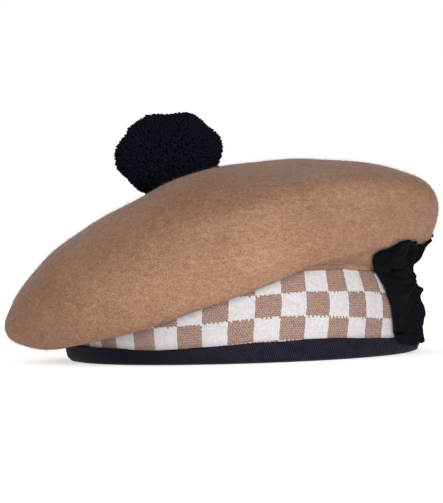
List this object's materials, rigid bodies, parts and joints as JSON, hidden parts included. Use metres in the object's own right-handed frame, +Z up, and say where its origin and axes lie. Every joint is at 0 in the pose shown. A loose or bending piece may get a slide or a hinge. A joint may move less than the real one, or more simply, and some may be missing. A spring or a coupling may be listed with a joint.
{
  "type": "balmoral bonnet",
  "caption": "Soft felt bonnet with a wide drooping crown, a diced woven band, a ribbon binding round its rim, a pleated ribbon cockade at the side and a wool toorie on top.",
  "frame": {"origin": "on the surface that the bonnet stands on, below the middle of the whole bonnet's outline from above", "axes": "+Z up out of the surface, -Y towards the front, +X towards the wearer's left, where the cockade is"},
  "size_m": [0.2216, 0.2301, 0.1264],
  "materials": {
    "tan_felt": "matte milled wool felt with a short nap",
    "diced_weave": "matte woven cotton and wool, diced in off-white and tan",
    "ribbon": "ribbed ribbon with a slight sheen",
    "cockade_ribbon": "ribbed ribbon with a slight sheen, pleated",
    "navy_wool": "matte cut wool"
  },
  "bodies": {
    "root": {"crown": "tan_felt", "diced_band": "diced_weave", "edge_binding": "ribbon", "cockade": "cockade_ribbon", "toorie": "navy_wool"}
  },
  "joints": []
}
